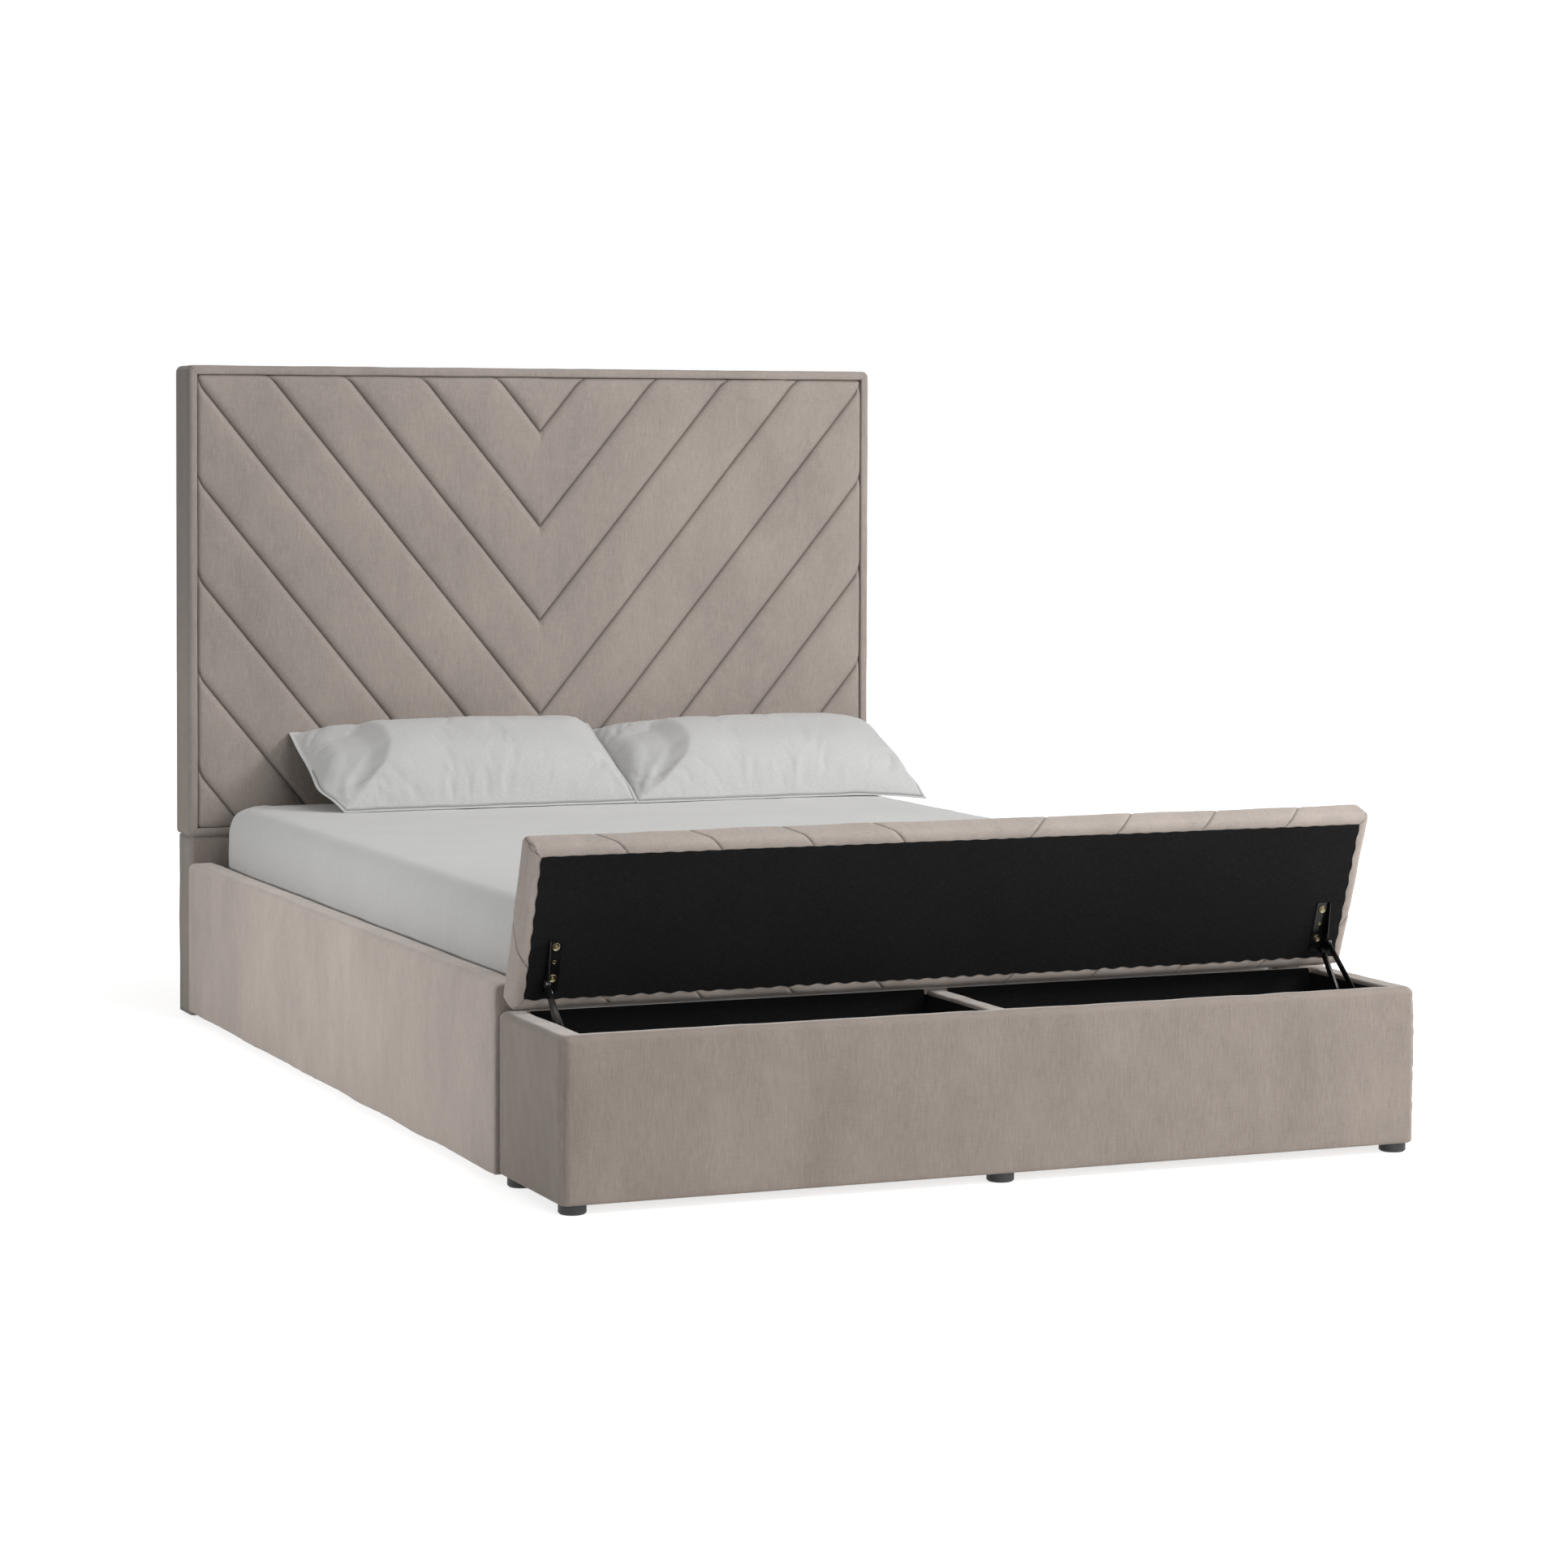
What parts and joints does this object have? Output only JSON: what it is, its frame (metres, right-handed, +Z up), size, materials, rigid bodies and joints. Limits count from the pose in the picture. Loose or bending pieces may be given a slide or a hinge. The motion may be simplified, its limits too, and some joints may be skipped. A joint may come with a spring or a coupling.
{
  "type": "upholstered storage bed",
  "caption": "Queen-size upholstered bed with a chevron-channelled headboard, padded side rails and a storage bench at the foot whose padded lid lifts on linkage hinges.",
  "frame": {"origin": "on the floor, at the middle of the bed's footprint", "axes": "+Z up, +X to the right seen from the foot, +Y from the foot towards the headboard"},
  "size_m": [1.652, 2.475, 1.448],
  "materials": {
    "upholstery_velvet": "short-pile velvet",
    "cover_cloth": "black woven cloth",
    "timber": "planed pine",
    "board": "plywood",
    "black_steel": "black satin",
    "black_plastic": "matte",
    "rivet_steel": "satin",
    "sheet_cloth": "plain weave",
    "pillow_cloth": "plain weave"
  },
  "bodies": {
    "frame": {"base_pivot_pins": "rivet_steel", "base_plate_left": "black_steel", "base_plate_right": "black_steel", "beam_hangers": "black_steel", "bench_back_board": "board", "bench_back_cover": "upholstery_velvet", "bench_bottom_battens": "timber", "bench_bottom_board": "board", "bench_divider_board": "board", "bench_divider_cover": "upholstery_velvet", "bench_feet": "black_plastic", "bench_front_board": "board", "bench_front_cover": "upholstery_velvet", "bench_side_board_left": "board", "bench_side_board_right": "board", "bench_side_cover_left": "upholstery_velvet", "bench_side_cover_right": "upholstery_velvet", "box_liner_left": "cover_cloth", "box_liner_right": "cover_cloth", "centre_beam": "timber", "centre_leg_feet": "black_plastic", "centre_legs": "black_steel", "headboard_back_panel": "cover_cloth", "headboard_border_bottom": "upholstery_velvet", "headboard_border_left": "upholstery_velvet", "headboard_border_right": "upholstery_velvet", "headboard_border_top": "upholstery_velvet", "headboard_chevron_panel": "upholstery_velvet", "headboard_cross_rails": "timber", "headboard_front_board": "board", "headboard_glides": "black_plastic", "headboard_lower_cover": "upholstery_velvet", "headboard_posts": "timber", "mattress": "sheet_cloth", "pillow_left": "pillow_cloth", "pillow_right": "pillow_cloth", "rail_board_left": "timber", "rail_board_right": "timber", "rail_brackets": "black_steel", "rail_cover_left": "upholstery_velvet", "rail_cover_right": "upholstery_velvet", "slat_ledge_left": "timber", "slat_ledge_right": "timber", "slats": "timber"},
    "lift_arms": {"lift_arm_left": "black_steel", "lift_arm_right": "black_steel"},
    "lid": {"lid_board": "board", "lid_pad": "upholstery_velvet", "lid_dust_cover": "cover_cloth", "lid_plate_left": "black_steel", "lid_plate_right": "black_steel", "lid_pivot_pins": "rivet_steel"},
    "stay_straps": {"stay_strap_left": "black_steel", "stay_strap_right": "black_steel"}
  },
  "joints": [
    {"name": "lift_arm_hinge", "type": "hinge", "parent": "frame", "child": "lift_arms", "pos_m": [0, -1.09982, 0.22257], "axis": [-1, 0, 0], "range_deg": [0, 29.78]},
    {"name": "lid_hinge", "type": "hinge", "parent": "lift_arms", "child": "lid", "pos_m": [0, -1.01619, 0.33885], "axis": [1, 0, 0], "range_deg": [0, 100.76]},
    {"name": "stay_strap_hinge", "type": "hinge", "parent": "lid", "child": "stay_straps", "pos_m": [0, -1.02394, 0.35522], "axis": [-1, 0, 0], "range_deg": [0, 100.94]}
  ],
  "couplings": [
    {"joint": "lift_arm_hinge", "follows": "lid_hinge", "ratio": 0.29537},
    {"joint": "stay_strap_hinge", "follows": "lid_hinge", "ratio": 1.0016}
  ]
}
